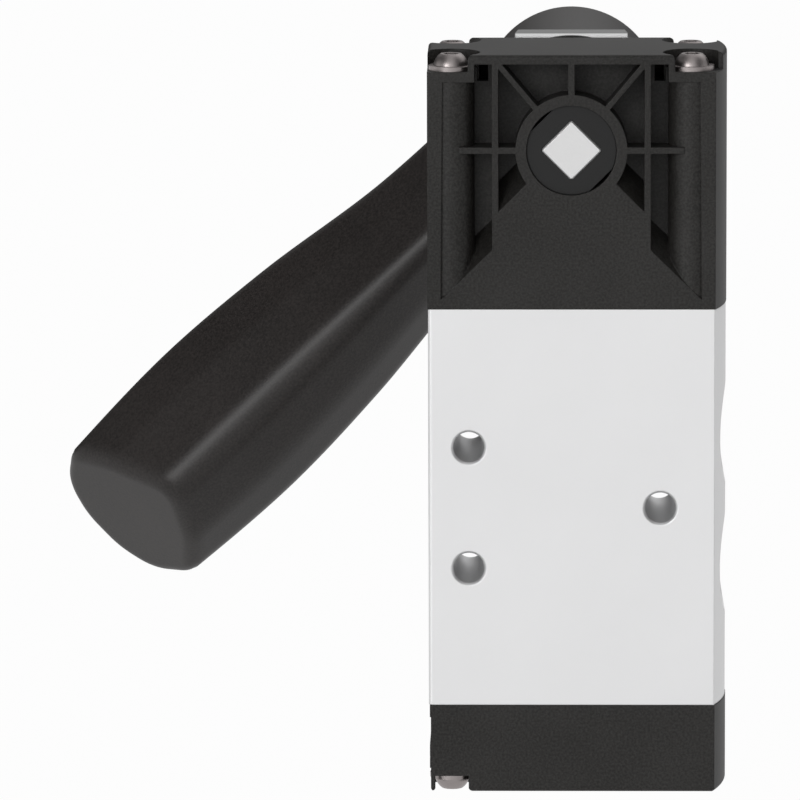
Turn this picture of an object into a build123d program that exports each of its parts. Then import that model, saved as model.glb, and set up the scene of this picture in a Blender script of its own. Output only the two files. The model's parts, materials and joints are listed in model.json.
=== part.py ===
from build123d import *
from math import atan2, cos, degrees, hypot, radians, sin
import os

os.makedirs("parts", exist_ok=True)

# Frame: X points to the crowned port side, Y from the mounting face to the lever, Z up to the head.
# The origin is the centre of the aluminium body's mounting face.

# Valve body
body_width = 51.3
body_depth = 26.5
body_height = 72.0
crown_rise = 2.15
body_edge_radius = 0.6
bore_radius = 9.5
gallery_radius = 10.9
gallery_length = 6.0
port_margin = 12.2
port_radius = 5.9
port_depth = 12.0
port_passage_radius = 3.6
spotface_radius = 9.4
spotface_stand = 1.0
mount_hole_radius = 2.75
mount_hole_rim = 0.4
pair_hole_inset = 7.25
pair_hole_shift = 0.9
single_hole_inset = 9.7

# Head moulding; its levels are heights above the valve body
head_height = 45.8
head_overhang = 0.1
head_edge_radius = 0.8
web_depth = 6.4
web_thickness = 1.8
rib_thickness = 1.15
diagonal_rib_thickness = 1.0
recess_wall = 2.3
recess_draft = 0.35
side_rib_inset = 12.05
top_bar_height = 1.7
corner_bar_thickness = 1.8
cross_rib_margin = 5.55
outer_ramp_low = 1.7
outer_ramp_high = 10.7
inner_ramp_low = 17.6
inner_ramp_run = 5.0
ramp_rise = 4.7
boss_radius = 10.0
snap_window_width = 1.9
snap_window_height = 3.7
snap_window_gap = 0.5
cavity_half_width = 16.5
cavity_roof = 1.8
front_wall = 2.8
side_wall = 2.0
side_bay_roof = 4.8
core_half_width = 12.0
core_height = 15.5
core_wall = 2.2

# Housing screws
screw_side_inset = 4.15
screw_inset = 4.25
screw_radius = 2.0
screw_hole_radius = 2.2
tapped_hole_radius = 2.05
tapped_hole_spare = 2.0
flange_head_radius = 4.0
flange_head_height = 0.85
dome_radius = 3.15
dome_shoulder_radius = 2.8
dome_top_radius = 1.9
screw_head_height = 2.9
socket_flats = 2.5
socket_depth = 1.6
tunnel_radius = 4.2
pocket_radius = 5.2
pocket_reach = 4.7
pocket_mouth = 5.0
pocket_depth = 3.1
head_screw_length = 54.0
cap_screw_length = 25.0

# End cap; the pads are top and bottom distances below the valve body
cap_height = 16.0
cap_inset = 0.35
cap_pocket_depth = 2.9
cap_edge_radius = 0.8
cap_well_radius = 6.6
cap_well_depth = 7.0
pad_height = 0.3
pad_width = 12.0
pad_levels = ((0.8, 3.9), (8.8, 11.1), (11.4, 13.2))

# Shaft and rotor
shaft_rise = 28.63
shaft_side = 7.7
shaft_corner_radius = 0.5
shaft_start = 0.35
shaft_turn = 45.0
seat_clearance = 0.05
rotor_radius = 8.0
journal_clearance = 0.06
rotor_recess = 0.6
rotor_flat = 7.5
rotor_flat_depth = 4.0
thrust_gap = 0.3
thrust_collar_radius = 9.5
eccentricity = 3.0
eccentric_radius = 9.0
detent_flat = 6.9
detent_length = 3.6
detent_gap = 0.5
rotor_pin_radius = 1.25
rotor_pin_half_length = 7.6

# Lever motion
lever_swing = 90.0
lever_rest_angle = 46.25

# Yoke
yoke_clearance = 0.2
yoke_thickness = 5.0
yoke_bar = 2.6
yoke_opening_half_width = 12.4
yoke_corner_radius = 2.0
yoke_stem_radius = 4.8
yoke_pin_radius = 1.0

# Front bearing and label carrier
bearing_spigot_radius = 13.15
bearing_hole_radius = 13.2
bearing_spigot_length = 4.8
flange_radius = 17.4
flange_thickness = 1.0
neck_radius = 11.0
carrier_ring_radius = 13.0
carrier_length = 9.2
carrier_half_width = 10.6
carrier_taper = 0.9
carrier_rise = 17.3
strip_length = 3.2
strip_thickness = 0.6

# Cartridge and spool
seal_thickness = 2.2
seal_outer_gap = 0.02
spool_radius = 6.0
spool_waist_radius = 4.0
spool_waist_taper = 1.0
spool_outer_waist = 6.5
spool_end_stand = 0.3
spool_neck_radius = 3.0
spool_neck_length = 9.0
spool_clearance = 0.04
cage_gap = 0.05
cage_bore_radius = 6.7
cage_window_width = 4.2
cage_window_height = 4.4
cage_windows = 4
guide_inset = 2.0
circlip_thickness = 1.0
circlip_radius = 10.1
circlip_inner_radius = 8.3
circlip_groove_radius = 10.2
circlip_opening = 5.0

# Lever
hub_radius = 16.5
hub_gap = 0.5
hub_depth = 44.8
hub_edge_radius = 3.0
hub_well_depth = 11.15
grip_front_inset = 14.0
grip_offset = 0.88
grip_reach = 115.2
grip_end_tilt = 31.0
grip_end_radius = 2.4
# Distance from the hub axis, half width and half depth of each section
grip_sections = (
    (4.0, 11.8, 11.4),
    (36.0, 12.4, 12.2),
    (64.0, 15.7, 13.6),
    (90.0, 17.0, 14.0),
    (126.0, 14.9, 13.3),
)
# The section's outline, as fractions of its half width and half depth, from the ridge round one side
grip_outline = ((0.0, 1.0), (0.30, 0.86), (0.80, 0.42), (1.0, -0.05), (0.72, -0.72))
hub_screw_radius = 2.5
hub_screw_length = 14.0
hub_screw_head_radius = 4.5
hub_screw_head_height = 3.0
hub_screw_hole_radius = 2.7
washer_radius = 6.0
washer_thickness = 1.0
hub_cap_radius = 7.0
hub_cap_thickness = 1.6
socket_end_wall = 1.2
hub_screw_socket = 4.0

# Detent leaf
leaf_thickness = 0.6
leaf_half_length = 17.2
leaf_slot_depth = 0.9
leaf_gap = 0.05

# Places worked out from the sizes above
mid_y = body_depth / 2
body_top = body_height / 2
head_top = body_top + head_height
cap_bottom = -body_top - cap_height
left_face = -body_width / 2
right_edge = body_width / 2
port_pitch = (body_top - port_margin) / 2
pair_hole_x = left_face + pair_hole_inset
pair_hole_z = port_pitch - pair_hole_shift
single_hole_x = right_edge - single_hole_inset
shaft_z = body_top + shaft_rise
web_inner = web_depth + web_thickness
cavity_front = body_depth - front_wall
screw_x = right_edge - screw_side_inset
screw_ys = (screw_inset, body_depth - screw_inset)
pocket_floor = head_top - pocket_depth
cap_pocket_floor = cap_bottom + cap_pocket_depth
travel = 2 * eccentricity * sin(radians(lever_swing / 2))
spool_z = -travel / 2
eccentric_place = (eccentricity * cos(radians(lever_swing / 2)), shaft_z - travel / 2)
eccentric_start = web_inner + thrust_gap
eccentric_end = mid_y + yoke_thickness / 2 + detent_gap
detent_end = eccentric_end + detent_length
bearing_start = body_depth - bearing_spigot_length
flange_front = body_depth + flange_thickness
carrier_end = flange_front + carrier_length
hub_start = carrier_end + hub_gap
hub_end = hub_start + hub_depth
hub_seat = hub_end - hub_well_depth
socket_floor = hub_seat - socket_end_wall
shaft_end = socket_floor - thrust_gap
screw_head_base = hub_seat + washer_thickness
rotor_pin_y = (bearing_start + body_depth) / 2
seal_zs = [port_pitch * (index - 2.5) for index in range(6)]
port_zs = [port_pitch * (index - 2) for index in range(5)]


def save(part, name):
    part.label = name
    export_step(part, f"parts/{name}.step")


def at_depth(y):
    """A sketch plane facing the mounting side, with X across and Z up."""
    return Plane.XZ.offset(-y)


def block_outline(left, right):
    """The section of the body and head: a flat port side and a crowned one."""
    with BuildSketch() as outline:
        with BuildLine():
            Line((right, 0), (left, 0))
            Line((left, 0), (left, body_depth))
            Line((left, body_depth), (right, body_depth))
            ThreePointArc((right, body_depth), (right + crown_rise, mid_y), (right, 0))
        make_face()
    return outline.sketch


# Aluminium valve body
left_ports = Plane((left_face, mid_y, 0), x_dir=(0, 1, 0), z_dir=(1, 0, 0))
right_ports = Plane((right_edge + spotface_stand, mid_y, 0), x_dir=(0, -1, 0), z_dir=(-1, 0, 0))
passage_length = right_edge - bore_radius

with BuildPart() as valve_body:
    with BuildSketch(Plane.XY.offset(-body_top)):
        add(block_outline(left_face, right_edge))
    extrude(amount=body_height)
    fillet(valve_body.edges().filter_by(Axis.Z).group_by(Axis.X)[0], body_edge_radius)
    with BuildSketch(Plane.XY.offset(-body_top)):
        with Locations((0, mid_y)):
            Circle(bore_radius)
    extrude(amount=body_height, mode=Mode.SUBTRACT)
    for z in port_zs:
        with BuildSketch(Plane.XY.offset(z - gallery_length / 2)):
            with Locations((0, mid_y)):
                Circle(gallery_radius)
        extrude(amount=gallery_length, mode=Mode.SUBTRACT)
    for plane, levels in ((left_ports, port_zs[0::2]), (right_ports, port_zs[1::2])):
        for radius, depth in ((port_radius, port_depth), (port_passage_radius, passage_length)):
            with BuildSketch(plane):
                with Locations([(0, z) for z in levels]):
                    Circle(radius)
            extrude(amount=depth, mode=Mode.SUBTRACT)
    with BuildSketch(right_ports):
        with Locations([(0, z) for z in port_zs[1::2]]):
            Circle(spotface_radius)
    extrude(amount=-crown_rise, mode=Mode.SUBTRACT)
    with BuildSketch(Plane.XZ):
        with Locations((pair_hole_x, pair_hole_z), (pair_hole_x, -pair_hole_z)):
            Circle(mount_hole_radius)
        with Locations((single_hole_x, 0)):
            Circle(mount_hole_radius)
    extrude(amount=-body_depth, mode=Mode.SUBTRACT)
    round_edges = valve_body.edges().filter_by(GeomType.CIRCLE)
    chamfer(round_edges.filter_by(lambda edge: abs(edge.radius - mount_hole_radius) < 0.01), mount_hole_rim)
    with BuildSketch(Plane.XY.offset(body_top)):
        with Locations([(x, y) for x in (-screw_x, screw_x) for y in screw_ys]):
            Circle(tapped_hole_radius)
    extrude(amount=pocket_floor - body_top - head_screw_length - tapped_hole_spare, mode=Mode.SUBTRACT)
    with BuildSketch(Plane.XY.offset(-body_top)):
        with Locations((-screw_x, screw_ys[0]), (screw_x, screw_ys[1])):
            Circle(tapped_hole_radius)
    extrude(amount=cap_pocket_floor + cap_screw_length + tapped_hole_spare + body_top, mode=Mode.SUBTRACT)
    with BuildSketch(Plane.XY.offset(body_top - guide_inset)):
        with Locations((0, mid_y)):
            Circle(circlip_groove_radius)
    extrude(amount=circlip_thickness, mode=Mode.SUBTRACT)
save(valve_body.part, "valve_body")


def recess(near, far):
    """A pocket from the mounting face down to the web, with sloping lower sides."""
    with BuildPart() as pocket:
        for points, depth in ((near, 0), (far, web_depth)):
            with BuildSketch(at_depth(depth)):
                with BuildLine():
                    Polyline(*points, close=True)
                make_face()
        loft(ruled=True)
    return pocket.part


# Head moulding with its ribbed mounting side
side_rib_x = right_edge - side_rib_inset
rib_outer = side_rib_x + rib_thickness / 2
rib_inner = side_rib_x - rib_thickness / 2
bar_underside = head_top - top_bar_height
corner_underside = pocket_floor - corner_bar_thickness
corner_bar_end = screw_x - tunnel_radius
recess_half_width = right_edge - recess_wall
side_near = [
    (recess_half_width - recess_draft, corner_underside),
    (corner_bar_end, corner_underside),
    (corner_bar_end, bar_underside),
    (rib_outer, bar_underside),
    (rib_outer, body_top + outer_ramp_high),
    (recess_half_width, body_top + outer_ramp_low),
]
ramp_end = rib_inner - inner_ramp_run
inner_ramp_z = body_top + inner_ramp_low
middle_near = [
    (rib_inner, bar_underside),
    (-rib_inner, bar_underside),
    (-rib_inner, inner_ramp_z),
    (-ramp_end, inner_ramp_z + inner_ramp_run),
    (ramp_end, inner_ramp_z + inner_ramp_run),
    (rib_inner, inner_ramp_z),
]
side_pocket = recess(side_near, side_near[:4] + [(x, z + ramp_rise) for x, z in side_near[4:]])
middle_pocket = recess(middle_near, middle_near[:2] + [(x, z + ramp_rise) for x, z in middle_near[2:]])
diagonal_rise = bar_underside - shaft_z
diagonal_length = hypot(rib_inner, diagonal_rise)
diagonal_angle = degrees(atan2(diagonal_rise, rib_inner))
window_x = corner_bar_end - snap_window_gap - snap_window_width / 2
cavity_top = head_top - cavity_roof
bay_start = screw_inset + tunnel_radius + side_wall / 2
bay_half_width = body_width / 2 + head_overhang - side_wall
leaf_z = shaft_z + detent_flat + leaf_gap
leaf_ys = (eccentric_end + detent_gap, detent_end - detent_gap)

with BuildPart() as head_housing:
    with BuildSketch(Plane.XY.offset(body_top)):
        add(block_outline(left_face - head_overhang, right_edge + head_overhang))
    extrude(amount=head_height)
    fillet(head_housing.edges().group_by(Axis.Z)[-1], head_edge_radius)
    add(side_pocket, mode=Mode.SUBTRACT)
    add(mirror(side_pocket, about=Plane.YZ), mode=Mode.SUBTRACT)
    add(middle_pocket, mode=Mode.SUBTRACT)
    # Screw tunnels that stand in the side pockets
    with BuildSketch(Plane.XY.offset(body_top + side_wall)):
        with Locations((-screw_x, screw_inset), (screw_x, screw_inset)):
            Circle(tunnel_radius)
    extrude(amount=corner_underside - body_top - side_wall)
    # Ribs and the round boss, flush with the mounting face
    with BuildSketch(Plane.XZ):
        with Locations((0, (shaft_z + bar_underside) / 2)):
            Rectangle(rib_thickness, diagonal_rise + rib_thickness)
        with Locations((0, shaft_z)):
            Rectangle(2 * (right_edge - cross_rib_margin), rib_thickness)
            Circle(boss_radius)
        for side in (-1, 1):
            with Locations((side * rib_inner / 2, shaft_z + diagonal_rise / 2)):
                Rectangle(diagonal_length, diagonal_rib_thickness, rotation=side * diagonal_angle)
    extrude(amount=-web_depth)
    # Hollow inside, open towards the valve body
    with BuildSketch(Plane.XY.offset(body_top)):
        with Locations((0, (web_inner + cavity_front) / 2)):
            Rectangle(2 * cavity_half_width, cavity_front - web_inner)
    extrude(amount=cavity_top - body_top, mode=Mode.SUBTRACT)
    with BuildSketch(Plane.XY.offset(body_top)):
        with Locations((0, mid_y)):
            Rectangle(2 * bay_half_width, body_depth - 2 * bay_start)
    extrude(amount=head_height - side_bay_roof, mode=Mode.SUBTRACT)
    with BuildSketch(Plane.XY.offset(body_top)):
        with Locations((0, (core_wall + web_inner) / 2)):
            Rectangle(2 * core_half_width, web_inner - core_wall)
    extrude(amount=core_height, mode=Mode.SUBTRACT)
    # Rear bore, front bearing hole and snap windows
    with BuildSketch(Plane.XZ):
        with Locations((0, shaft_z)):
            Circle(rotor_radius + journal_clearance)
    extrude(amount=-web_inner, mode=Mode.SUBTRACT)
    with BuildSketch(at_depth(cavity_front)):
        with Locations((0, shaft_z)):
            Circle(bearing_hole_radius)
    extrude(amount=-front_wall, mode=Mode.SUBTRACT)
    with BuildSketch(at_depth(web_depth)):
        with Locations([(side * window_x, bar_underside - snap_window_height / 2) for side in (-1, 1)]):
            Rectangle(snap_window_width, snap_window_height)
    extrude(amount=-web_thickness, mode=Mode.SUBTRACT)
    # Slots that hold the ends of the detent leaf
    with BuildSketch(at_depth(leaf_ys[0] - leaf_gap)):
        with Locations((0, leaf_z + leaf_thickness / 2)):
            Rectangle(2 * (cavity_half_width + leaf_slot_depth), leaf_thickness + 2 * leaf_gap)
    extrude(amount=leaf_ys[0] - leaf_ys[1] - 2 * leaf_gap, mode=Mode.SUBTRACT)
    # Screw holes and the pockets for the screw heads
    with BuildSketch(Plane.XY.offset(body_top)):
        with Locations([(x, y) for x in (-screw_x, screw_x) for y in screw_ys]):
            Circle(screw_hole_radius)
    extrude(amount=head_height, mode=Mode.SUBTRACT)
    with BuildSketch(Plane.XY.offset(pocket_floor)):
        with Locations([(x, y) for x in (-screw_x, screw_x) for y in screw_ys]):
            Circle(pocket_radius)
        with Locations((0, mid_y)):
            Rectangle(2 * (screw_x + pocket_reach), body_depth, mode=Mode.INTERSECT)
        for side in (-1, 1):
            for mouth_y in (pocket_mouth / 2, body_depth - pocket_mouth / 2):
                with Locations((side * (screw_x + pocket_radius), mouth_y)):
                    Rectangle(2 * pocket_radius, pocket_mouth)
    extrude(amount=pocket_depth, mode=Mode.SUBTRACT)
save(head_housing.part, "head_housing")


# End cap
with BuildPart() as end_cap:
    with BuildSketch(Plane.XY.offset(cap_bottom)):
        add(block_outline(left_face + cap_inset, right_edge + head_overhang))
    extrude(amount=cap_height)
    fillet(end_cap.edges().group_by(Axis.Z)[0], cap_edge_radius)
    with BuildSketch(Plane.XY.offset(-body_top)):
        with Locations((0, mid_y)):
            Circle(cap_well_radius)
    extrude(amount=-cap_well_depth, mode=Mode.SUBTRACT)
    for top, bottom in pad_levels:
        with BuildSketch(Plane.YZ.offset(left_face + cap_inset)):
            with Locations((mid_y, -body_top - (top + bottom) / 2)):
                RectangleRounded(pad_width, bottom - top, (bottom - top) / 4)
        extrude(amount=-pad_height)
    with BuildSketch(Plane.XY.offset(cap_bottom)):
        with Locations((-screw_x, screw_ys[0]), (screw_x, screw_ys[1])):
            Circle(screw_hole_radius)
    extrude(amount=cap_height, mode=Mode.SUBTRACT)
    with BuildSketch(Plane.XY.offset(cap_bottom)):
        with Locations((-screw_x, screw_ys[0]), (screw_x, screw_ys[1])):
            Circle(pocket_radius)
    extrude(amount=cap_pocket_depth, mode=Mode.SUBTRACT)
save(end_cap.part, "end_cap")


def button_screw(length):
    """A flanged button screw with a hexagon socket, its seat on Z = 0 and its shank below."""
    with BuildPart() as screw:
        with BuildSketch(Plane.XZ):
            with BuildLine():
                Polyline((0, -length), (screw_radius, -length), (screw_radius, 0), (flange_head_radius, 0))
                Line((flange_head_radius, 0), (flange_head_radius, flange_head_height))
                Line((flange_head_radius, flange_head_height), (dome_radius, flange_head_height))
                dome_middle = (dome_shoulder_radius, (flange_head_height + screw_head_height) / 2)
                dome_end = (dome_top_radius, screw_head_height)
                ThreePointArc((dome_radius, flange_head_height), dome_middle, dome_end)
                Line(dome_end, (0, screw_head_height))
                Line((0, screw_head_height), (0, -length))
            make_face()
        revolve(axis=Axis.Z)
        with BuildSketch(Plane.XY.offset(screw_head_height)):
            RegularPolygon(socket_flats / 2, 6, major_radius=False)
        extrude(amount=-socket_depth, mode=Mode.SUBTRACT)
    return screw.part


head_screw = button_screw(head_screw_length)
with BuildPart() as head_screws:
    with Locations([(x, y, pocket_floor) for x in (-screw_x, screw_x) for y in screw_ys]):
        add(head_screw)
save(head_screws.part, "head_screws")

cap_screw = Rot(180, 0, 0) * button_screw(cap_screw_length)
with BuildPart() as end_cap_screws:
    with Locations((-screw_x, screw_ys[0], cap_pocket_floor), (screw_x, screw_ys[1], cap_pocket_floor)):
        add(cap_screw)
save(end_cap_screws.part, "end_cap_screws")


def sleeve(inner, outer, low, high):
    """A plain ring about the spool's axis."""
    return lathe([(inner, low), (outer, low), (outer, high), (inner, high)])


def lathe(points):
    """A ring about the spool's axis, from a closed profile of radius and height."""
    with BuildPart() as ring:
        with BuildSketch(Plane.XZ.offset(-mid_y)):
            with BuildLine():
                Polyline(*points, close=True)
            make_face()
        revolve(axis=Axis((0, mid_y, 0), (0, 0, 1)))
    return ring.part


# Seals and the windowed cages between them
seal_inner = spool_radius + spool_clearance
seal = sleeve(seal_inner, bore_radius - seal_outer_gap, 0, seal_thickness)
with BuildPart() as spool_seals:
    with Locations([(0, 0, z - seal_thickness / 2) for z in seal_zs]):
        add(seal)
save(spool_seals.part, "spool_seals")

cage_length = port_pitch - seal_thickness
cage_outer = bore_radius - cage_gap
with BuildPart() as cage:
    add(sleeve(cage_bore_radius, cage_outer, 0, cage_length))
    with Locations((0, mid_y, cage_length / 2)):
        with PolarLocations(0, cage_windows):
            Box(bore_radius, cage_window_width, cage_window_height,
                align=(Align.MIN, Align.CENTER, Align.CENTER), mode=Mode.SUBTRACT)
with BuildPart() as seal_cages:
    with Locations([(0, 0, z - cage_length / 2) for z in port_zs]):
        add(cage.part)
save(seal_cages.part, "seal_cages")

# Guide bushes at both ends of the cartridge, and the ring that holds it in
guide_start = seal_zs[-1] + seal_thickness / 2
guide_top = body_top - guide_inset
with BuildPart() as upper_guide:
    add(sleeve(seal_inner, cage_outer, guide_start, guide_top))
save(upper_guide.part, "upper_guide")

with BuildPart() as lower_guide:
    add(sleeve(seal_inner, cage_outer, -body_top, -guide_start))
save(lower_guide.part, "lower_guide")

with BuildPart() as retaining_ring:
    with BuildSketch(Plane.XY.offset(guide_top)):
        with Locations((0, mid_y)):
            Circle(circlip_radius)
            Circle(circlip_inner_radius, mode=Mode.SUBTRACT)
        with Locations((0, mid_y + circlip_radius)):
            Rectangle(circlip_opening, circlip_radius, mode=Mode.SUBTRACT)
    extrude(amount=circlip_thickness)
save(retaining_ring.part, "retaining_ring")

# Spool with its lands and waists
spool_half_length = body_top + spool_end_stand
waist_ends = ((-port_pitch / 2, port_pitch / 2), (1.5 * port_pitch, 1.5 * port_pitch + spool_outer_waist),
              (-1.5 * port_pitch - spool_outer_waist, -1.5 * port_pitch))
with BuildPart() as spool:
    with BuildSketch(Plane.XY.offset(spool_z - spool_half_length)):
        with Locations((0, mid_y)):
            Circle(spool_radius)
    extrude(amount=2 * spool_half_length)
    chamfer(spool.edges().filter_by(GeomType.CIRCLE), spool_waist_taper / 2)
    for low, high in waist_ends:
        add(lathe([
            (spool_radius + spool_waist_taper, spool_z + low - spool_waist_taper),
            (spool_waist_radius, spool_z + low + spool_waist_taper),
            (spool_waist_radius, spool_z + high - spool_waist_taper),
            (spool_radius + spool_waist_taper, spool_z + high + spool_waist_taper),
        ]), mode=Mode.SUBTRACT)
    with BuildSketch(Plane.XY.offset(spool_z + spool_half_length)):
        with Locations((0, mid_y)):
            Circle(spool_neck_radius)
    extrude(amount=spool_neck_length)
    neck_pin_z = spool_z + spool_half_length + spool_neck_length / 2
    with BuildSketch(Plane.XZ):
        with Locations((0, neck_pin_z)):
            Circle(yoke_pin_radius)
    extrude(amount=-body_depth, mode=Mode.SUBTRACT)
save(spool.part, "spool")

# Yoke round the eccentric, with a socket for the spool's neck
yoke_z = eccentric_place[1]
yoke_opening_half_height = eccentric_radius + yoke_clearance
yoke_outer_half_height = yoke_opening_half_height + yoke_bar
yoke_half_width = yoke_opening_half_width + yoke_bar
yoke_stem_bottom = spool_z + spool_half_length
with BuildPart() as spool_yoke:
    with BuildSketch(at_depth(mid_y - yoke_thickness / 2)):
        with Locations((0, yoke_z)):
            RectangleRounded(2 * yoke_half_width, 2 * yoke_outer_half_height, yoke_corner_radius + yoke_bar)
            RectangleRounded(2 * yoke_opening_half_width, 2 * yoke_opening_half_height, yoke_corner_radius,
                             mode=Mode.SUBTRACT)
    extrude(amount=-yoke_thickness)
    with BuildSketch(Plane.XY.offset(yoke_stem_bottom)):
        with Locations((0, mid_y)):
            Circle(yoke_stem_radius)
    extrude(amount=yoke_z - yoke_outer_half_height + yoke_bar / 2 - yoke_stem_bottom)
    with BuildSketch(Plane.XY.offset(yoke_stem_bottom)):
        with Locations((0, mid_y)):
            Circle(spool_neck_radius + seat_clearance)
    extrude(amount=spool_neck_length + seat_clearance, mode=Mode.SUBTRACT)
    with BuildSketch(Plane.XZ):
        with Locations((0, neck_pin_z)):
            Circle(yoke_pin_radius)
    extrude(amount=-body_depth, mode=Mode.SUBTRACT)
save(spool_yoke.part, "spool_yoke")

with BuildPart() as yoke_pin:
    with BuildSketch(at_depth(mid_y - yoke_stem_radius)):
        with Locations((0, neck_pin_z)):
            Circle(yoke_pin_radius)
    extrude(amount=-2 * yoke_stem_radius)
save(yoke_pin.part, "yoke_pin")

# Square shaft with a tapped front end
pin_way = (cos(radians(shaft_turn)), 0, sin(radians(shaft_turn)))
pin_plane = Plane((0, rotor_pin_y, shaft_z), x_dir=(0, 1, 0), z_dir=pin_way)
with BuildPart() as drive_shaft:
    with BuildSketch(at_depth(shaft_start)):
        with Locations((0, shaft_z)):
            RectangleRounded(shaft_side, shaft_side, shaft_corner_radius, rotation=shaft_turn)
    extrude(amount=shaft_start - shaft_end)
    chamfer(drive_shaft.faces().sort_by(Axis.Y)[0].edges(), shaft_corner_radius / 2)
    with BuildSketch(at_depth(shaft_end)):
        with Locations((0, shaft_z)):
            Circle(hub_screw_radius + seat_clearance)
    extrude(amount=hub_screw_length, mode=Mode.SUBTRACT)
    with BuildSketch(pin_plane):
        Circle(rotor_pin_radius)
    extrude(amount=rotor_radius, both=True, mode=Mode.SUBTRACT)
save(drive_shaft.part, "drive_shaft")

# Rotor: rear journal, eccentric, detent flats, thrust collar and front journal
with BuildPart() as rotor:
    for place, radius, start, end in (
        ((0, shaft_z), rotor_radius, rotor_recess, eccentric_start),
        (eccentric_place, eccentric_radius, eccentric_start, eccentric_end),
        ((0, shaft_z), rotor_radius, eccentric_end, detent_end),
        ((0, shaft_z), thrust_collar_radius, detent_end, bearing_start - thrust_gap),
        ((0, shaft_z), rotor_radius, bearing_start - thrust_gap, hub_start),
    ):
        with BuildSketch(at_depth(start)):
            with Locations(place):
                Circle(radius)
        extrude(amount=start - end)
    # Four flats that the leaf rests on
    with BuildSketch(at_depth(eccentric_end)):
        with Locations((0, shaft_z)):
            Circle(rotor_radius + seat_clearance)
            Rectangle(2 * detent_flat, 2 * detent_flat, mode=Mode.SUBTRACT)
    extrude(amount=-detent_length, mode=Mode.SUBTRACT)
    # Two flats at the rear end
    with BuildSketch(at_depth(rotor_recess)):
        with Locations((0, shaft_z)):
            Circle(rotor_radius + seat_clearance)
            Rectangle(2 * rotor_flat, 4 * rotor_flat, rotation=-shaft_turn, mode=Mode.SUBTRACT)
    extrude(amount=-rotor_flat_depth, mode=Mode.SUBTRACT)
    with BuildSketch(at_depth(rotor_recess)):
        with Locations((0, shaft_z)):
            RectangleRounded(shaft_side + 2 * seat_clearance, shaft_side + 2 * seat_clearance,
                             shaft_corner_radius, rotation=shaft_turn)
    extrude(amount=-hub_start, mode=Mode.SUBTRACT)
    with BuildSketch(pin_plane):
        Circle(rotor_pin_radius)
    extrude(amount=2 * rotor_radius, both=True, mode=Mode.SUBTRACT)
save(rotor.part, "rotor")

with BuildPart() as rotor_pin:
    with BuildSketch(pin_plane):
        Circle(rotor_pin_radius)
    extrude(amount=rotor_pin_half_length, both=True)
save(rotor_pin.part, "rotor_pin")

# Leaf spring that rests on the rotor's flats
with BuildPart() as detent_leaf:
    with BuildSketch(at_depth(leaf_ys[0])):
        with Locations((0, leaf_z + leaf_thickness / 2)):
            Rectangle(2 * leaf_half_length, leaf_thickness)
    extrude(amount=leaf_ys[0] - leaf_ys[1])
save(detent_leaf.part, "detent_leaf")

# Flanged bearing in the head's front wall
with BuildPart() as front_bearing:
    for radius, start, end in (
        (bearing_spigot_radius, bearing_start, body_depth),
        (flange_radius, body_depth, flange_front),
        (neck_radius, flange_front, carrier_end),
    ):
        with BuildSketch(at_depth(start)):
            with Locations((0, shaft_z)):
                Circle(radius)
        extrude(amount=start - end)
    with BuildSketch(at_depth(bearing_start)):
        with Locations((0, shaft_z)):
            Circle(rotor_radius + journal_clearance)
    extrude(amount=bearing_start - carrier_end, mode=Mode.SUBTRACT)
save(front_bearing.part, "front_bearing")

# Label carrier clipped round the bearing's neck, and its white strip
carrier_top = shaft_z + carrier_rise
with BuildPart() as label_carrier:
    for depth, taper in ((flange_front, 0), (carrier_end, carrier_taper)):
        with BuildSketch(at_depth(depth)):
            with Locations((0, shaft_z + carrier_rise / 2)):
                Rectangle(2 * (carrier_half_width - taper), carrier_rise)
    loft(ruled=True)
    with BuildSketch(at_depth(flange_front)):
        with Locations((0, shaft_z)):
            Circle(carrier_ring_radius)
    extrude(amount=-carrier_length)
    with BuildSketch(at_depth(flange_front)):
        with Locations((0, shaft_z)):
            Circle(neck_radius + seat_clearance)
    extrude(amount=-carrier_length, mode=Mode.SUBTRACT)
    with BuildSketch(at_depth(flange_front)):
        with Locations((0, carrier_top - strip_thickness / 2)):
            Rectangle(2 * carrier_half_width, strip_thickness)
    extrude(amount=-strip_length, mode=Mode.SUBTRACT)
save(label_carrier.part, "label_carrier")

with BuildPart() as label_strip:
    with BuildSketch(at_depth(flange_front)):
        with Locations((0, carrier_top - strip_thickness / 2)):
            Rectangle(2 * (carrier_half_width - carrier_taper / 2), strip_thickness)
    extrude(amount=-strip_length)
save(label_strip.part, "label_strip")

# Lever: a drum on the shaft and a swept-out grip
grip_turn = radians(lever_rest_angle)
grip_way = Vector(-sin(grip_turn), 0, -cos(grip_turn))
grip_across = Vector(cos(grip_turn), 0, -sin(grip_turn))
grip_root = Vector(0, hub_end - grip_front_inset, shaft_z) - grip_across * grip_offset


def grip_section(distance, half_width, half_depth):
    """A smooth section with a ridge on the valve's side and a full curve on the far side."""
    side = [(across * half_width, deep * half_depth) for across, deep in grip_outline]
    far_side = [(0, -half_depth)]
    other_side = [(-across, deep) for across, deep in reversed(side[1:])]
    with BuildSketch(Plane(grip_root + grip_way * distance, x_dir=grip_across, z_dir=grip_way)) as section:
        with BuildLine():
            Spline(*side, *far_side, *other_side, periodic=True)
        make_face()
    return section.sketch


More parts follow.
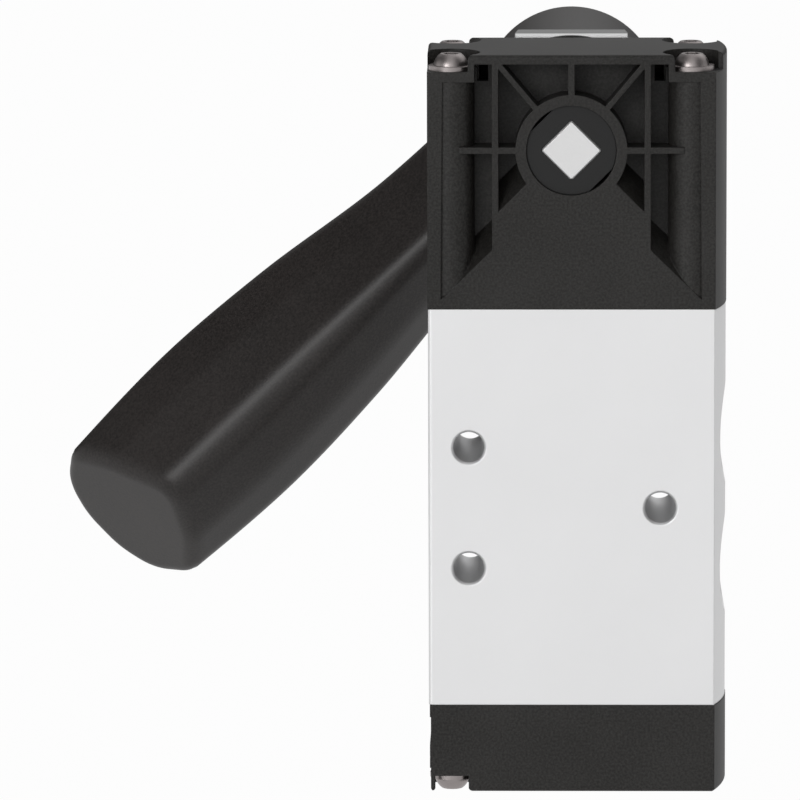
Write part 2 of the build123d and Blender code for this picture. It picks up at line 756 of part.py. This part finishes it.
with BuildPart() as lever_handle:
    for distance, half_width, half_depth in grip_sections:
        add(grip_section(distance, half_width, half_depth))
    loft()
    end_way = grip_way * cos(radians(grip_end_tilt)) - Vector(0, 1, 0) * sin(radians(grip_end_tilt))
    split(bisect_by=Plane(grip_root + grip_way * grip_reach, z_dir=end_way), keep=Keep.BOTTOM)
    fillet(lever_handle.faces().filter_by(GeomType.PLANE).sort_by(Axis.Z)[0].edges(), grip_end_radius)
    with BuildSketch(at_depth(hub_start)):
        with Locations((0, shaft_z)):
            Circle(hub_radius)
    extrude(amount=hub_start - hub_end)
    fillet(lever_handle.faces().sort_by(Axis.Y)[-1].edges(), hub_edge_radius)
    # Socket for the shaft, hole for the hub screw and the well for its head and cap
    with BuildSketch(at_depth(hub_start)):
        with Locations((0, shaft_z)):
            RectangleRounded(shaft_side + 2 * seat_clearance, shaft_side + 2 * seat_clearance,
                             shaft_corner_radius, rotation=shaft_turn)
    extrude(amount=hub_start - socket_floor, mode=Mode.SUBTRACT)
    cap_well = hub_cap_radius + seat_clearance
    for radius, start in ((hub_screw_hole_radius, socket_floor), (cap_well, hub_seat)):
        with BuildSketch(at_depth(start)):
            with Locations((0, shaft_z)):
                Circle(radius)
        extrude(amount=start - hub_end, mode=Mode.SUBTRACT)
save(lever_handle.part, "lever_handle")

# Hub screw, its washer and the cap over them
with BuildPart() as hub_screw:
    for radius, start, end in (
        (hub_screw_radius, screw_head_base - hub_screw_length, screw_head_base),
        (hub_screw_head_radius, screw_head_base, screw_head_base + hub_screw_head_height),
    ):
        with BuildSketch(at_depth(start)):
            with Locations((0, shaft_z)):
                Circle(radius)
        extrude(amount=start - end)
    with BuildSketch(at_depth(screw_head_base + hub_screw_head_height)):
        with Locations((0, shaft_z)):
            RegularPolygon(hub_screw_socket / 2, 6, major_radius=False)
    extrude(amount=socket_depth, mode=Mode.SUBTRACT)
save(hub_screw.part, "hub_screw")

with BuildPart() as hub_washer:
    with BuildSketch(at_depth(hub_seat)):
        with Locations((0, shaft_z)):
            Circle(washer_radius)
            Circle(hub_screw_hole_radius, mode=Mode.SUBTRACT)
    extrude(amount=-washer_thickness)
save(hub_washer.part, "hub_washer")

with BuildPart() as hub_cap:
    with BuildSketch(at_depth(hub_end - hub_cap_thickness)):
        with Locations((0, shaft_z)):
            Circle(hub_cap_radius)
    extrude(amount=-hub_cap_thickness)
    chamfer(hub_cap.faces().sort_by(Axis.Y)[-1].edges(), hub_cap_thickness / 4)
save(hub_cap.part, "hub_cap")
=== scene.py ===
import bpy
import bmesh
import json
import math
from mathutils import Matrix, Quaternion, Vector


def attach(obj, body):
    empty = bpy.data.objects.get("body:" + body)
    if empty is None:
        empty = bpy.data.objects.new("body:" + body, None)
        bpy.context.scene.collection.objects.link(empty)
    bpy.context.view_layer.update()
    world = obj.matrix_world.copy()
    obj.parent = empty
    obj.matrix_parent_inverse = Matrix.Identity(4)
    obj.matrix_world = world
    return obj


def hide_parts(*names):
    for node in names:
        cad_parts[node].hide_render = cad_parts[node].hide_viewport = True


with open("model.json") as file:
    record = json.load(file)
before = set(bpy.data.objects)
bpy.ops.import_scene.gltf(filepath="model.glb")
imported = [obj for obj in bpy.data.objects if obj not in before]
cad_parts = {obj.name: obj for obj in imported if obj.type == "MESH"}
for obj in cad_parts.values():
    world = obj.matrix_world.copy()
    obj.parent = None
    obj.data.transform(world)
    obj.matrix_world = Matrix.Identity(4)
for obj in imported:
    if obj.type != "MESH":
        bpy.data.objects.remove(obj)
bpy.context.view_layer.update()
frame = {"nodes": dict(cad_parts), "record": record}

nodes = frame["nodes"]
record = frame["record"]
print("frame loaded:", len(nodes), "nodes")


# node maths: a socket that takes part in Python expressions
class wire:
    def __init__(self, brush, socket):
        self.brush = brush
        self.socket = socket

    def maths(self, operation, first, second):
        return self.brush.add("ShaderNodeMath", {"operation": operation}, [first, second])["Value"]

    def __add__(self, other):
        return self.maths("ADD", self, other)

    def __radd__(self, other):
        return self.maths("ADD", other, self)

    def __sub__(self, other):
        return self.maths("SUBTRACT", self, other)

    def __rsub__(self, other):
        return self.maths("SUBTRACT", other, self)

    def __mul__(self, other):
        return self.maths("MULTIPLY", self, other)

    def __rmul__(self, other):
        return self.maths("MULTIPLY", other, self)

    def __pow__(self, other):
        return self.maths("POWER", self, other)


# one node tree being painted
class paint:
    def __init__(self, tree):
        self.tree = tree
        tree.nodes.clear()

    def add(self, kind, settings, values):
        # the node's own settings first, then a value or a link for each socket
        made = self.tree.nodes.new(kind)
        for key, value in settings.items():
            setattr(made, key, value)
        pairs = values.items() if isinstance(values, dict) else enumerate(values)
        for key, value in pairs:
            if isinstance(value, wire):
                self.tree.links.new(value.socket, made.inputs[key])
            else:
                made.inputs[key].default_value = value
        return {socket.name: wire(self, socket) for socket in made.outputs if socket.enabled}


def newMaterial(name):
    material = bpy.data.materials.new(name)
    material.use_nodes = True
    return material, paint(material.node_tree)


def grain(brush, scale, detail, roughness):
    place = brush.add("ShaderNodeTexCoord", {}, {})["Object"]
    values = {"Vector": place, "Scale": scale, "Detail": detail, "Roughness": roughness}
    return brush.add("ShaderNodeTexNoise", {"noise_dimensions": "3D"}, values)["Fac"]


def tinted(brush, mask, dark, light):
    values = {0: mask, 6: (*dark, 1), 7: (*light, 1)}
    return brush.add("ShaderNodeMix", {"data_type": "RGBA"}, values)["Result"]


def makeFinish(name, settings):
    # a fine and a broad grain in the colour, and the fine one in the roughness and the surface
    material, brush = newMaterial(name)
    fine = grain(brush, *settings["fineGrain"])
    broad = grain(brush, *settings["broadGrain"]) if settings["broadGrain"] else 0.5
    mask = (fine - 0.5) * settings["mottle"] + broad
    normal = brush.add("ShaderNodeBevel", {"samples": 6}, {"Radius": settings["edge"]})["Normal"]
    normal = brush.add("ShaderNodeBump", {}, {
        "Strength": settings["bumpStrength"], "Distance": settings["bumpDistance"],
        "Height": fine, "Normal": normal})["Normal"]
    shader = brush.add("ShaderNodeBsdfPrincipled", {}, {
        "Base Color": tinted(brush, mask, settings["dark"], settings["light"]),
        "Roughness": settings["roughness"] + (fine - 0.5) * settings["roughnessSpread"],
        "Metallic": settings["metallic"],
        "Specular IOR Level": settings["specular"],
        "Normal": normal})["BSDF"]
    brush.add("ShaderNodeOutputMaterial", {}, {"Surface": shader})
    return material


# a grain is its scale, detail and roughness, and edge is the radius that softens the edges
blackPlastic = {
    "dark": (0.0068, 0.0060, 0.0052),
    "light": (0.0240, 0.0230, 0.0215),
    "fineGrain": (2400, 2, 0.55),
    "broadGrain": (55, 3, 0.5),
    "mottle": 3.0,
    "roughness": 0.52,
    "roughnessSpread": 0.10,
    "metallic": 0.0,
    "specular": 0.28,
    "bumpStrength": 0.4,
    "bumpDistance": 0.00005,
    "edge": 0.00025,
}
leverPlastic = dict(
    blackPlastic,
    dark=(0.0048, 0.0030, 0.0024),
    light=(0.0172, 0.0136, 0.0124),
    fineGrain=(2200, 2, 0.55),
    roughness=0.42,
    specular=0.40,
    bumpStrength=0.35,
    edge=0.0004,
)
blastedAluminium = {
    "dark": (0.69, 0.69, 0.695),
    "light": (0.74, 0.74, 0.745),
    "fineGrain": (5200, 2, 0.6),
    "broadGrain": (38, 4, 0.55),
    "mottle": 0.0,
    "roughness": 0.46,
    "roughnessSpread": 0.12,
    "metallic": 1.0,
    "specular": 0.5,
    "bumpStrength": 0.12,
    "bumpDistance": 0.00003,
    "edge": 0.0003,
}
smoothPlastic = {
    "dark": (0.006, 0.006, 0.006),
    "light": (0.009, 0.009, 0.009),
    "fineGrain": (1800, 2, 0.5),
    "broadGrain": (90, 3, 0.5),
    "mottle": 0.0,
    "roughness": 0.5,
    "roughnessSpread": 0.06,
    "metallic": 0.0,
    "specular": 0.3,
    "bumpStrength": 0.06,
    "bumpDistance": 0.00002,
    "edge": 0.00012,
}
plainSteel = {
    "dark": (0.62, 0.62, 0.62),
    "light": (0.68, 0.68, 0.68),
    "fineGrain": (1400, 3, 0.6),
    "broadGrain": None,
    "mottle": 1.0,
    "roughness": 0.5,
    "roughnessSpread": 0.15,
    "metallic": 1.0,
    "specular": 0.5,
    "bumpStrength": 0.08,
    "bumpDistance": 0.00002,
    "edge": 0.00012,
}
platedSteel = dict(
    plainSteel, dark=(0.27, 0.245, 0.24), light=(0.33, 0.30, 0.295),
    fineGrain=(900, 3, 0.6), roughness=0.36, edge=0.00008)
springSteel = dict(
    plainSteel, dark=(0.42, 0.43, 0.45), light=(0.50, 0.51, 0.53),
    fineGrain=(900, 3, 0.6), roughness=0.35, edge=0.00005)
turnedBrass = dict(
    plainSteel, dark=(0.68, 0.50, 0.22), light=(0.76, 0.58, 0.28),
    fineGrain=(700, 3, 0.6), roughness=0.32, edge=0.00008)
machinedBrass = dict(turnedBrass, dark=(0.66, 0.48, 0.21), light=(0.74, 0.56, 0.27), roughness=0.34)
polishedAluminium = dict(
    plainSteel, dark=(0.55, 0.56, 0.57), light=(0.62, 0.63, 0.64),
    fineGrain=(1200, 3, 0.6), roughness=0.22, edge=0.00008)
sealRubber = dict(smoothPlastic, dark=(0.012, 0.012, 0.012), light=(0.02, 0.02, 0.02), roughness=0.65)
naturalAcetal = dict(
    smoothPlastic, dark=(0.52, 0.49, 0.40), light=(0.60, 0.57, 0.48), roughness=0.45, specular=0.5)
greyPlastic = dict(smoothPlastic, dark=(0.20, 0.20, 0.20), light=(0.24, 0.24, 0.24), specular=0.4)
whiteStrip = dict(
    smoothPlastic, dark=(0.88, 0.88, 0.88), light=(0.92, 0.92, 0.92), roughness=0.4, specular=0.4)

finishSettings = {
    "body_aluminium": blastedAluminium,
    "black_plastic": blackPlastic,
    "lever_plastic": leverPlastic,
    "rotor_plastic": smoothPlastic,
    "screw_steel": platedSteel,
    "shaft_steel": plainSteel,
    "spring_steel": springSteel,
    "seal_rubber": sealRubber,
    "cage_plastic": naturalAcetal,
    "guide_brass": turnedBrass,
    "yoke_brass": machinedBrass,
    "spool_aluminium": polishedAluminium,
    "label_grey": greyPlastic,
    "label_white": whiteStrip,
}
finishes = {name: makeFinish(name, settings) for name, settings in finishSettings.items()}


def dressFrame():
    for part in record["subparts"]:
        mesh = nodes[part["node"]].data
        mesh.materials.clear()
        mesh.materials.append(finishes[part["material_slot"]])
        for face in mesh.polygons:
            face.material_index = 0


dressFrame()
print("finishes on the frame:", len(finishes))


def linkedObject(name, mesh):
    made = bpy.data.objects.new(name, mesh)
    bpy.context.scene.collection.objects.link(made)
    return made


def finishedPiece(name, mesh, finish, smoothAngle):
    mesh.name = name
    mesh.materials.clear()
    mesh.materials.append(finishes[finish])
    mesh.shade_smooth()
    mesh.set_sharp_from_angle(angle=math.radians(smoothAngle))
    return linkedObject(name, mesh)


def evaluatedMesh(base):
    # the mesh that an object's modifiers make, in place of the object and its modifiers
    evaluated = base.evaluated_get(bpy.context.evaluated_depsgraph_get())
    mesh = bpy.data.meshes.new_from_object(evaluated)
    base.modifiers.clear()
    bpy.data.objects.remove(base)
    return mesh


def ringSolid(name, rows):
    # quads between closed rings, and a face over each end
    bm = bmesh.new()
    rings = [[bm.verts.new(point) for point in row] for row in rows]
    for low, high in zip(rings, rings[1:]):
        for index in range(len(low)):
            after = (index + 1) % len(low)
            bm.faces.new((low[index], low[after], high[after], high[index]))
    bm.faces.new(rings[0])
    bm.faces.new(rings[-1])
    bmesh.ops.recalc_face_normals(bm, faces=bm.faces)
    mesh = bpy.data.meshes.new(name)
    bm.to_mesh(mesh)
    bm.free()
    return linkedObject(name, mesh)


def roundedEdge(radius, steps):
    # how far inwards and how far back from the end each step of a quarter round lies
    angles = [math.radians(90) * step / steps for step in range(steps + 1)]
    return [(radius * (1 - math.cos(angle)), radius * (1 - math.sin(angle))) for angle in angles]


# the lever's moulding: a drum on the shaft and a swept grip with a ridge towards the valve
lever = {
    "drumBack": 0.0372,
    "drumFront": 0.082,
    "drumRadius": 0.0165,
    "backEdge": 0.0003,
    "frontEdge": 0.003,
    "wellRadius": 0.00705,
    "wellFloor": 0.07085,
    "wellEdge": 0.0002,
    "drumSegments": 128,
    "edgeSteps": 8,
    "angle": 46.25,  # of the grip from straight down
    "depth": 0.0665,
    "sideways": -0.00105,
    "begin": 0.0085,  # inside the drum, clear of its well
    "reach": 0.1127,
    "endTilt": 36.8,
    "endRadius": 0.0021,
    "endInset": 0.0004,
    # distance from the shaft, half width and half depth
    "stations": [(0.004, 0.0118, 0.0112), (0.036, 0.0124, 0.0118), (0.064, 0.0157, 0.0127),
                 (0.090, 0.0170, 0.0130), (0.126, 0.0149, 0.0122)],
    # corners of the section from the ridge round to it again: across, deep and rounding
    "corners": [(0.06, 1.15, 0.34), (0.74, 0.56, 1.10), (1.15, -0.10, 0.42), (0.84, -0.82, 0.80),
                (0.30, -1.10, 0.90), (-0.34, -1.10, 0.90), (-0.88, -0.82, 0.80), (-1.15, -0.16, 0.36),
                (-0.72, 0.41, 1.20)],
    "cornerSteps": 8,
    "flankSteps": 6,
    "rows": 64,
    "smoothAngle": 32,
}
joints = {joint["name"]: joint for joint in record["behaviour"]["joints"]}
shaftPlace = Vector(joints["lever_swing"]["pos_m"])


def smoothThrough(stations, place):
    # a cubic curve through the stations, level by level
    last = len(stations) - 1
    slopes = []
    for index in range(last + 1):
        before, after = stations[max(index - 1, 0)], stations[min(index + 1, last)]
        run = after[0] - before[0]
        slopes.append([(b - a) / run for a, b in zip(before[1:], after[1:])])
    index = max(i for i in range(last) if stations[i][0] <= place or i == 0)
    start, end = stations[index], stations[index + 1]
    run = end[0] - start[0]
    t = (place - start[0]) / run
    made = []
    for level in range(len(start) - 1):
        a, b = start[level + 1], end[level + 1]
        out, into = slopes[index][level] * run, slopes[index + 1][level] * run
        made.append((2 * t**3 - 3 * t**2 + 1) * a + (t**3 - 2 * t**2 + t) * out
                    + (3 * t**2 - 2 * t**3) * b + (t**3 - t**2) * into)
    return made


def cornerArc(before, corner, after, radius, steps):
    back, ahead = (before - corner).normalized(), (after - corner).normalized()
    half = back.angle(ahead) / 2
    centre = corner + (back + ahead).normalized() * radius / math.sin(half)
    start = corner + back * radius / math.tan(half) - centre
    turn = start.angle_signed(corner + ahead * radius / math.tan(half) - centre)
    return [centre + Matrix.Rotation(-turn * step / steps, 2) @ start for step in range(steps + 1)]


def gripOutline(settings):
    # straight flanks with round corners, then brought to one unit each way
    corners = settings["corners"]
    arcs = []
    for index, (x, y, radius) in enumerate(corners):
        before, after = corners[index - 1], corners[(index + 1) % len(corners)]
        arcs.append(cornerArc(
            Vector(before[:2]), Vector((x, y)), Vector(after[:2]), radius, settings["cornerSteps"]))
    flank = settings["flankSteps"]
    outline = []
    for index, arc in enumerate(arcs):
        following = arcs[(index + 1) % len(arcs)][0]
        outline += arc + [arc[-1].lerp(following, step / flank) for step in range(1, flank)]
    widest = max(point.x for point in outline)
    high, low = max(point.y for point in outline), min(point.y for point in outline)
    return [(point.x / widest, (2 * point.y - high - low) / (high - low)) for point in outline]


def sectionPoint(settings, outline, unit, place, inset):
    # one point of the section at that distance, moved inwards by the inset
    halfWidth, halfDepth = smoothThrough(settings["stations"], place)
    before, after = outline[unit - 1], outline[(unit + 1) % len(outline)]
    edge = Vector(((after[0] - before[0]) * halfWidth, (after[1] - before[1]) * halfDepth)).normalized()
    middle = Vector((outline[unit][0] * halfWidth, outline[unit][1] * halfDepth))
    outward = Vector((edge.y, -edge.x))
    if outward.dot(middle) < 0:
        outward = -outward
    return middle - outward * inset


def gripPlace(settings, flat, place):
    # from a point of the section and its distance from the shaft to its place in the frame
    turn = math.radians(settings["angle"])
    way = Vector((-math.sin(turn), 0, -math.cos(turn)))
    across = Vector((math.cos(turn), 0, -math.sin(turn)))
    root = shaftPlace + Vector((0, settings["depth"], 0)) + across * settings["sideways"]
    return root + way * place + across * flat.x + Vector((0, -1, 0)) * flat.y


def gripRows(settings):
    # rings from inside the drum to the tilted end, and round the end's edge
    outline = gripOutline(settings)
    units = range(len(outline))
    slope = math.tan(math.radians(settings["endTilt"]))
    begin, reach, radius = settings["begin"], settings["reach"], settings["endRadius"]
    ends = []
    for unit in units:
        end = reach
        for step in range(4):  # the section and where it ends depend on each other
            end = reach - sectionPoint(settings, outline, unit, end, 0).y * slope
        ends.append(end)
    rows = []
    for row in range(settings["rows"] + 1):
        share = row / settings["rows"]
        places = [begin + (end - radius - begin) * share for end in ends]
        flats = [sectionPoint(settings, outline, unit, places[unit], 0) for unit in units]
        rows.append([gripPlace(settings, flat, place) for flat, place in zip(flats, places)])
    for inset, back in roundedEdge(radius, settings["edgeSteps"])[1:] + [(radius + settings["endInset"], 0)]:
        flats = [sectionPoint(settings, outline, unit, ends[unit], inset) for unit in units]
        rows.append([gripPlace(settings, flat, reach - flat.y * slope - back) for flat in flats])
    return rows


def drumRows(settings):
    # rings about the shaft, from the back round the front edge and into the well
    radius, front, well = settings["drumRadius"], settings["drumFront"], settings["wellRadius"]
    profile = [(radius - settings["backEdge"], settings["drumBack"]),
               (radius, settings["drumBack"] + settings["backEdge"])]
    profile += [(radius - inset, front - back)
                for inset, back in roundedEdge(settings["frontEdge"], settings["edgeSteps"])]
    profile += [(well + settings["wellEdge"], front), (well, front - settings["wellEdge"]),
                (well, settings["wellFloor"])]
    segments = settings["drumSegments"]
    angles = [2 * math.pi * step / segments for step in range(segments)]
    return [[shaftPlace + Vector((ring * math.cos(angle), y, ring * math.sin(angle))) for angle in angles]
            for ring, y in profile]


def makeLever(settings):
    drum = ringSolid("drum_form", drumRows(settings))
    grip = ringSolid("grip_form", gripRows(settings))
    union = drum.modifiers.new("union", "BOOLEAN")
    union.operation = "UNION"
    union.solver = "EXACT"
    union.object = grip
    mesh = evaluatedMesh(drum)
    bpy.data.objects.remove(grip)
    moulding = finishedPiece("lever_moulding", mesh, "lever_plastic", settings["smoothAngle"])
    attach(moulding, "lever")
    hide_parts("lever_handle")
    print("lever moulding:", len(moulding.data.polygons), "faces")


makeLever(lever)


# the port threads, as ridges on the bores' walls, one helix for each threaded hole of the record
thread = {
    "pitch": 0.001337,
    "turns": 6.5,
    "ridgeHeight": 0.00032,
    "ridgeWidth": 0.00050,
    "runOut": 12,  # how steeply a ridge rises from nothing at both ends
    "setBack": 0.0009,  # from the port's mouth
    "pointsPerTurn": 40,
    "smoothAngle": 40,
}
millimetre = 0.001


def threadTree():
    # the tree with its named inputs, and the socket identifier of each
    tree = bpy.data.node_groups.new("port_thread", "GeometryNodeTree")
    tree.interface.new_socket("Geometry", in_out="INPUT", socket_type="NodeSocketGeometry")
    tree.interface.new_socket("Geometry", in_out="OUTPUT", socket_type="NodeSocketGeometry")
    sockets = {}
    for label, kind in (
        ("Bore radius", "Float"), ("Pitch", "Float"), ("Turns", "Float"), ("Ridge height", "Float"),
        ("Ridge width", "Float"), ("Run-out", "Float"), ("Points per turn", "Int"), ("Finish", "Material"),
    ):
        made = tree.interface.new_socket(label, in_out="INPUT", socket_type="NodeSocket" + kind)
        sockets[label] = made.identifier
    brush = paint(tree)
    given = brush.add("NodeGroupInput", {}, {})
    helix = brush.add("GeometryNodeCurveSpiral", {}, {
        "Resolution": given["Points per turn"], "Rotations": given["Turns"],
        "Start Radius": given["Bore radius"], "End Radius": given["Bore radius"],
        "Height": given["Pitch"] * given["Turns"]})["Curve"]
    helix = brush.add("GeometryNodeSetCurveNormal", {"mode": "Z_UP"}, {"Curve": helix})["Curve"]
    along = brush.add("GeometryNodeSplineParameter", {}, {})["Factor"]
    rise = [along * given["Run-out"], (1 - along) * given["Run-out"]]
    rise = brush.add("ShaderNodeMath", {"operation": "MINIMUM"}, rise)["Value"]
    rise = brush.add("ShaderNodeMath", {"operation": "MINIMUM"}, [rise, 1.0])["Value"]
    helix = brush.add("GeometryNodeSetCurveRadius", {}, {"Curve": helix, "Radius": rise})["Curve"]
    ridge = brush.add("GeometryNodeCurvePrimitiveCircle", {"mode": "RADIUS"}, {"Resolution": 4, "Radius": 1.0})
    size = brush.add("ShaderNodeCombineXYZ", {}, {
        "X": given["Ridge height"], "Y": given["Ridge width"], "Z": 1.0})["Vector"]
    ridge = brush.add("GeometryNodeTransform", {}, {"Geometry": ridge["Curve"], "Scale": size})["Geometry"]
    solid = brush.add("GeometryNodeCurveToMesh", {}, {
        "Curve": helix, "Profile Curve": ridge, "Fill Caps": True})["Mesh"]
    turn = brush.add("GeometryNodeInputNamedAttribute", {"data_type": "FLOAT_VECTOR"}, {"Name": "turn"})
    placed = brush.add("GeometryNodeInstanceOnPoints", {}, {
        "Points": given["Geometry"], "Instance": solid, "Rotation": turn["Attribute"]})["Instances"]
    whole = brush.add("GeometryNodeRealizeInstances", {}, {"Geometry": placed})["Geometry"]
    dressed = brush.add("GeometryNodeSetMaterial", {}, {"Geometry": whole, "Material": given["Finish"]})
    brush.add("NodeGroupOutput", {}, {"Geometry": dressed["Geometry"]})
    return tree, sockets


def portMouths(ports, setBack):
    # a point a little inside each mouth, with the turn that sends its thread inwards
    points, turns = [], []
    for port in ports:
        outward = Vector(port["axis"])
        half = port["dims"]["length_mm"] * millimetre / 2
        points.append(Vector(port["pos_m"]) + outward * (half - setBack))
        turns.append((0.0, math.radians(90), math.radians(180) if outward.x > 0 else 0.0))
    mesh = bpy.data.meshes.new("port_mouths")
    mesh.from_pydata(points, [], [])
    attribute = mesh.attributes.new("turn", "FLOAT_VECTOR", "POINT")
    attribute.data.foreach_set("vector", [value for turn in turns for value in turn])
    return linkedObject("port_mouths", mesh)


def makeThreads(settings):
    ports = [mount for mount in record["mounts"] if mount["kind"] == "threaded_hole"]
    base = portMouths(ports, settings["setBack"])
    tree, sockets = threadTree()
    modifier = base.modifiers.new("nodes", "NODES")
    modifier.node_group = tree
    values = {
        "Bore radius": ports[0]["dims"]["r_mm"] * millimetre,
        "Pitch": settings["pitch"],
        "Turns": settings["turns"],
        "Ridge height": settings["ridgeHeight"],
        "Ridge width": settings["ridgeWidth"],
        "Run-out": float(settings["runOut"]),
        "Points per turn": settings["pointsPerTurn"],
        "Finish": finishes["body_aluminium"],
    }
    for label, value in values.items():
        modifier[sockets[label]] = value
    mesh = evaluatedMesh(base)
    threads = finishedPiece("port_threads", mesh, "body_aluminium", settings["smoothAngle"])
    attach(threads, "valve")
    print("port threads:", len(threads.data.polygons), "faces")


makeThreads(thread)


# camera, from the photograph's frame of 800 by 800
view = {
    "place": (0.0, -1.5757, 0.2778),
    "target": (-0.03069, 0.0, 0.01961),
    "lens": 401.2,
    "sensorWidth": 36.0,
    "farthest": 20.0,
    "roll": -0.17,
}


def makeCamera(settings):
    data = bpy.data.cameras.new("camera")
    data.lens = settings["lens"]
    data.sensor_width = settings["sensorWidth"]
    data.clip_end = settings["farthest"]
    camera = bpy.data.objects.new("camera", data)
    bpy.context.scene.collection.objects.link(camera)
    camera.location = settings["place"]
    way = Vector(settings["target"]) - Vector(settings["place"])
    camera.rotation_mode = "QUATERNION"
    roll = Quaternion((0, 0, 1), math.radians(settings["roll"]))
    camera.rotation_quaternion = way.to_track_quat("-Z", "Y") @ roll
    bpy.context.scene.camera = camera


makeCamera(view)


studio = {
    "floorHeight": -0.115,
    "floorSize": 6.0,
    "floorGrey": 0.86,
    "floorWhite": 0.95,  # how much of the floor's look is plain white, and the rest keeps the shadow
    # soft light: degrees round from the front, degrees up, how narrow it is and its level
    "softLight": [
        (0, 0, 8, 1.36),
        (90, 0, 8, 0.75),
        (270, 0, 8, 1.13),
        (0, 45, 8, 0.90),
        (135, 45, 8, 1.00),
        (180, 45, 8, 1.10),
        (0, 90, 8, 0.60),
        (330, 15, 60, 11.0),
    ],
}


def makeFloor(settings):
    half = settings["floorSize"] / 2
    mesh = bpy.data.meshes.new("floor")
    corners = [(-half, -half), (half, -half), (half, half), (-half, half)]
    mesh.from_pydata([(x, y, settings["floorHeight"]) for x, y in corners], [], [(0, 1, 2, 3)])
    material, brush = newMaterial("floor_white")
    grey = settings["floorGrey"]
    rays = brush.add("ShaderNodeLightPath", {}, {})
    pale = brush.add("ShaderNodeBsdfDiffuse", {}, {"Color": (grey, grey, grey, 1)})["BSDF"]
    white = brush.add("ShaderNodeEmission", {}, {"Color": (1, 1, 1, 1), "Strength": 1.0})["Emission"]
    seen = rays["Is Camera Ray"] + rays["Is Glossy Ray"] + rays["Is Transmission Ray"]
    mixed = brush.add("ShaderNodeMixShader", {}, {"Fac": seen * settings["floorWhite"], 1: pale, 2: white})
    brush.add("ShaderNodeOutputMaterial", {}, {"Surface": mixed["Shader"]})
    mesh.materials.append(material)
    linkedObject("floor", mesh)


def makeWorld(settings):
    world = bpy.data.worlds.new("studio")
    bpy.context.scene.world = world
    world.use_nodes = True
    brush = paint(world.node_tree)
    way = brush.add("ShaderNodeTexCoord", {}, {})["Generated"]
    light = 0
    for around, up, narrow, level in settings["softLight"]:
        around, up = math.radians(around), math.radians(up)
        towards = (math.sin(around) * math.cos(up), -math.cos(around) * math.cos(up), math.sin(up))
        facing = brush.add("ShaderNodeVectorMath", {"operation": "DOT_PRODUCT"}, {0: way, 1: towards})["Value"]
        facing = brush.add("ShaderNodeMath", {"operation": "MAXIMUM"}, [facing, 0.0])["Value"]
        light = light + level * facing ** narrow
    seen = brush.add("ShaderNodeLightPath", {}, {})["Is Camera Ray"]
    shown = light * (1 - seen) + seen  # white behind the object, soft light everywhere else
    back = brush.add("ShaderNodeBackground", {}, {"Color": (1, 1, 1, 1), "Strength": shown})["Background"]
    brush.add("ShaderNodeOutputWorld", {}, {"Surface": back})


makeFloor(studio)
makeWorld(studio)
bpy.context.scene.view_settings.view_transform = "Standard"
print("studio ready")
